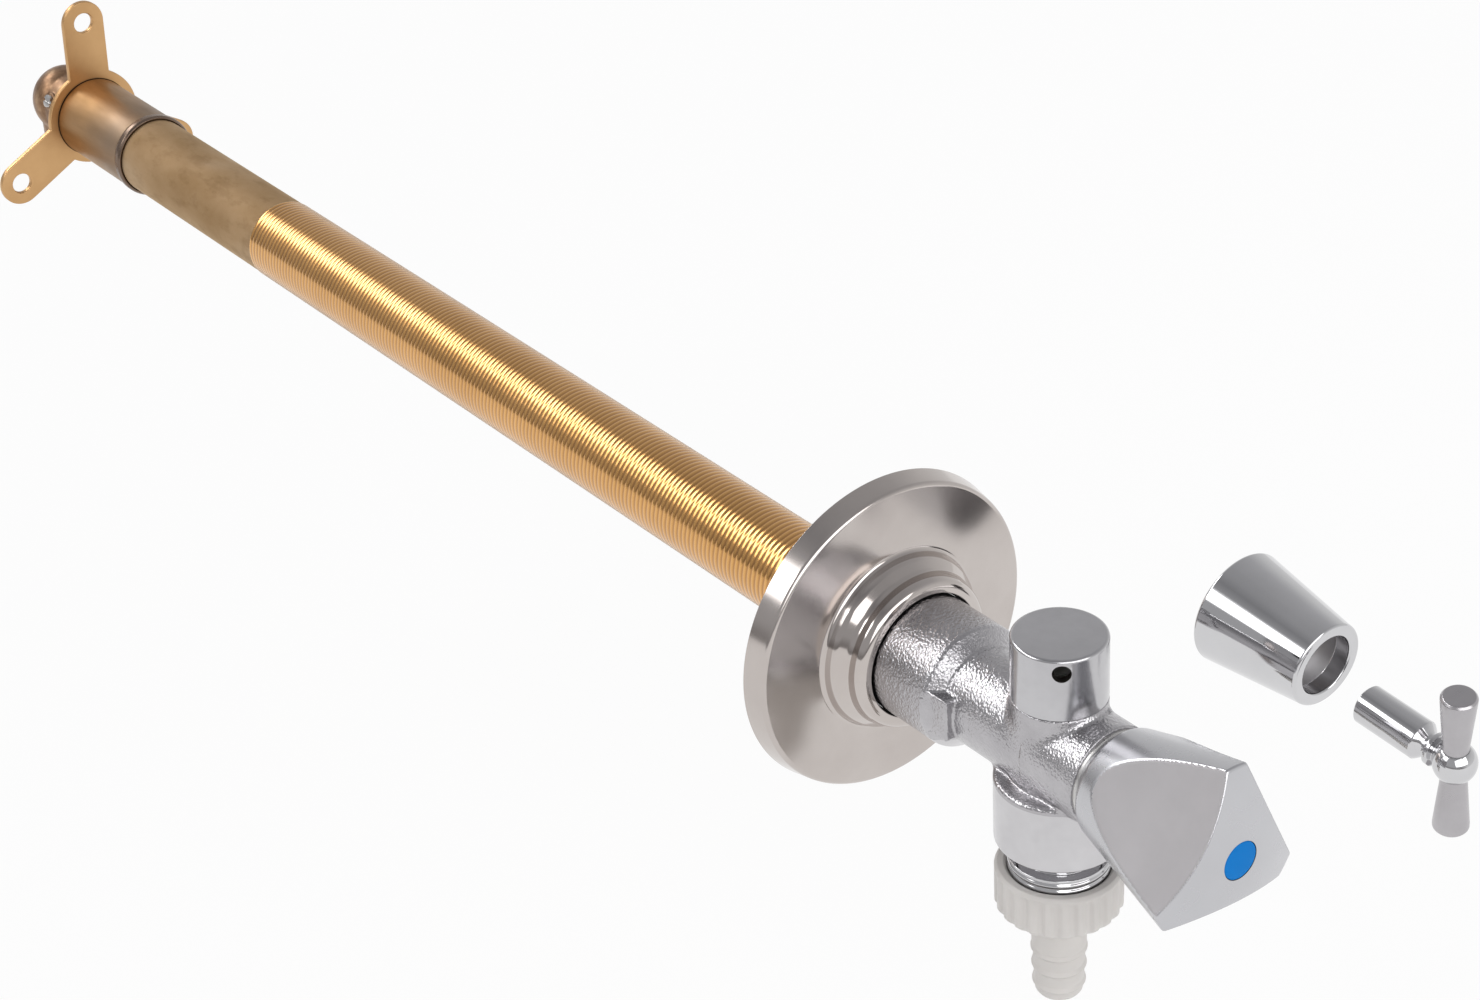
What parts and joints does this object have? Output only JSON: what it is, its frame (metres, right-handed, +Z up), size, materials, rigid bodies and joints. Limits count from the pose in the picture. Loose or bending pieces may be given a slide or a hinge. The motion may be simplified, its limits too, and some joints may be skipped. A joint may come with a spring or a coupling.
{
  "type": "frost free sillcock",
  "caption": "Frost free wall tap: threaded brass tube with rear plate and inlet elbow, chromed angled tap with rosette, breaker cap, hose union and triangular handle, winter cover and key.",
  "frame": {"origin": "on the tap axis, in the plane of the wall's outside face, where the rosette's rim rests", "axes": "+Z up, +Y along the tap axis into the wall, handle and spout at -Y, +X to the right of a person who faces the tap"},
  "size_m": [0.1358, 0.603, 0.1218],
  "materials": {
    "brass": "turned and threaded, dulled to brown on the plain rear end",
    "satin_brass": "satin, warm",
    "dark_brass": "cast, dark brown and speckled",
    "bright_brass": "bright",
    "satin_chrome": "cast and plated, grainy",
    "chrome": "polished",
    "stainless": "pressed and polished",
    "rubber": "matt",
    "white_plastic": "moulded, warm white",
    "inner_plastic": "moulded",
    "blue_plastic": "smooth"
  },
  "bodies": {
    "tap": {"outer_tube": "brass", "rear_sleeve": "satin_brass", "wall_plate": "satin_brass", "inlet_elbow": "dark_brass", "test_screw": "bright_brass", "sleeve_ring": "rubber", "valve_guide": "brass", "tube_gasket": "rubber", "tap_body": "satin_chrome", "breaker_cap": "satin_chrome", "breaker_seat": "brass", "air_seat": "inner_plastic", "cap_ring": "rubber", "outlet_nipple": "chrome", "nipple_gasket": "rubber", "check_cage": "inner_plastic", "check_spring": "stainless", "headwork": "stainless", "headwork_ring": "rubber"},
    "handle": {"handle": "chrome", "handle_screw": "stainless", "indicator_disc": "blue_plastic", "spindle": "brass", "spindle_rings": "rubber", "spindle_clip": "stainless", "drive_rod": "brass", "rod_pins": "stainless", "stem": "brass"},
    "valve_piston": {"valve_piston": "brass", "seat_washer": "rubber", "washer_screw": "stainless"},
    "rosette": {"rosette": "stainless", "rosette_ring": "rubber"},
    "breaker_float": {"breaker_float": "rubber"},
    "check_poppet": {"check_poppet": "inner_plastic"},
    "hose_tail": {"hose_tail": "white_plastic", "hose_washer": "rubber"},
    "union_nut": {"union_nut": "white_plastic"},
    "key_cover": {"key_cover": "chrome"},
    "tee_key": {"tee_key": "chrome", "tee_bar": "chrome"}
  },
  "joints": [
    {"name": "handle_turn", "type": "hinge", "parent": "tap", "child": "handle", "pos_m": [0, 0, 0], "axis": [0, -1, 0], "range_deg": [0, 900]},
    {"name": "valve_lift", "type": "slide", "parent": "tap", "child": "valve_piston", "axis": [0, -1, 0], "range_m": [0, 0.005]},
    {"name": "rosette_slide", "type": "slide", "parent": "tap", "child": "rosette", "axis": [0, -1, 0], "range_m": [0, 0.015]},
    {"name": "float_lift", "type": "slide", "parent": "tap", "child": "breaker_float", "axis": [0, 0, 1], "range_m": [0, 0.0029]},
    {"name": "check_open", "type": "slide", "parent": "tap", "child": "check_poppet", "axis": [0, 0, -1], "range_m": [0, 0.003], "stiffness_N_per_m": 200, "springref_m": -0.005, "deforming": ["check_spring"]},
    {"name": "tail_drop", "type": "slide", "parent": "tap", "child": "hose_tail", "axis": [0, 0, -1], "range_m": [0, 0.0109]},
    {"name": "nut_turn", "type": "hinge", "parent": "hose_tail", "child": "union_nut", "pos_m": [0, -0.07, 0], "axis": [0, 0, -1], "range_deg": [0, 2160]},
    {"name": "cover_lift", "type": "slide", "parent": "tap", "child": "key_cover", "axis": [0, 0, 1], "range_m": [0, 0.06]},
    {"name": "key_lift", "type": "slide", "parent": "tap", "child": "tee_key", "axis": [0, 0, 1], "range_m": [0, 0.06]}
  ],
  "couplings": [
    {"joint": "valve_lift", "follows": "handle_turn", "m_per_rad": 0.000318},
    {"joint": "tail_drop", "follows": "nut_turn", "m_per_rad": 0.0002887}
  ]
}
